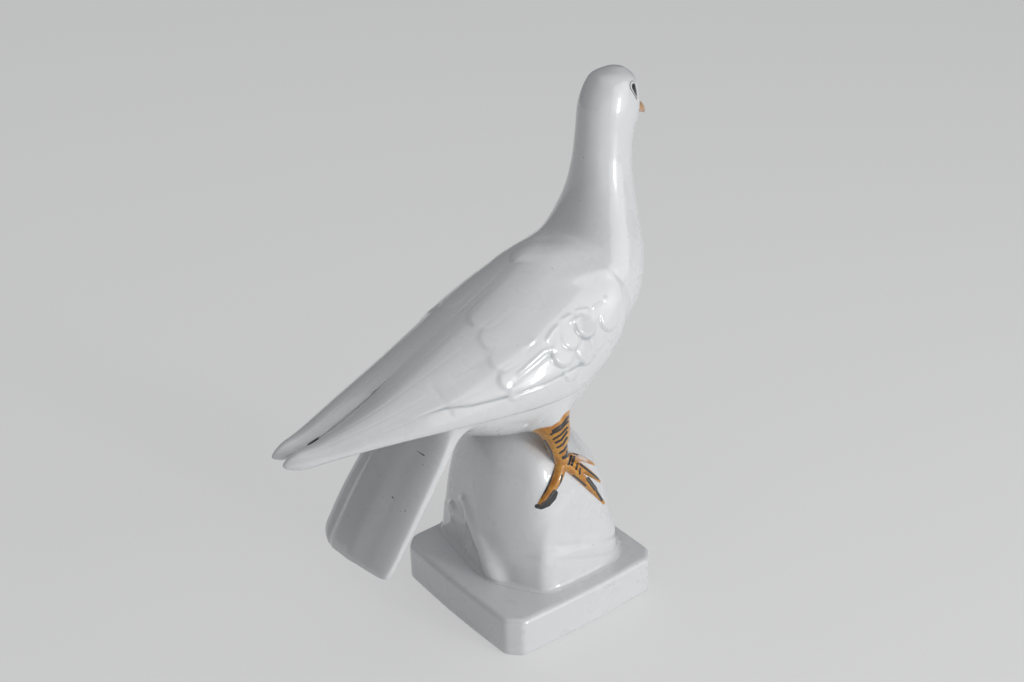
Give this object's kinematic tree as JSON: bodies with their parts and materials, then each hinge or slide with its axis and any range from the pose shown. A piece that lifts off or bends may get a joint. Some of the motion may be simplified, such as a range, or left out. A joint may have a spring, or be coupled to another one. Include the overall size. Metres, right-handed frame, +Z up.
{
  "type": "dove figurine on a rock and plinth",
  "caption": "Glazed white porcelain dove with folded, feathered wings and painted legs, perched on a rock on a square plinth with cut corners",
  "frame": {"origin": "middle of the underside of the whole figurine's box", "axes": "+Z up, +X the way the dove looks, +Y its left side"},
  "size_m": [0.2382, 0.1106, 0.3],
  "materials": {
    "white_glaze": "cool white porcelain under a very glossy clear glaze with a few dark specks",
    "leg_paint": "amber underglaze paint with black bars and claws, glossy",
    "beak_paint": "pale orange-brown underglaze paint, glossy"
  },
  "bodies": {
    "root": {"body": "white_glaze", "wing_left": "white_glaze", "wing_right": "white_glaze", "tail": "white_glaze", "beak": "beak_paint", "leg_left": "leg_paint", "leg_right": "leg_paint", "rock": "white_glaze", "plinth": "white_glaze"}
  },
  "joints": []
}
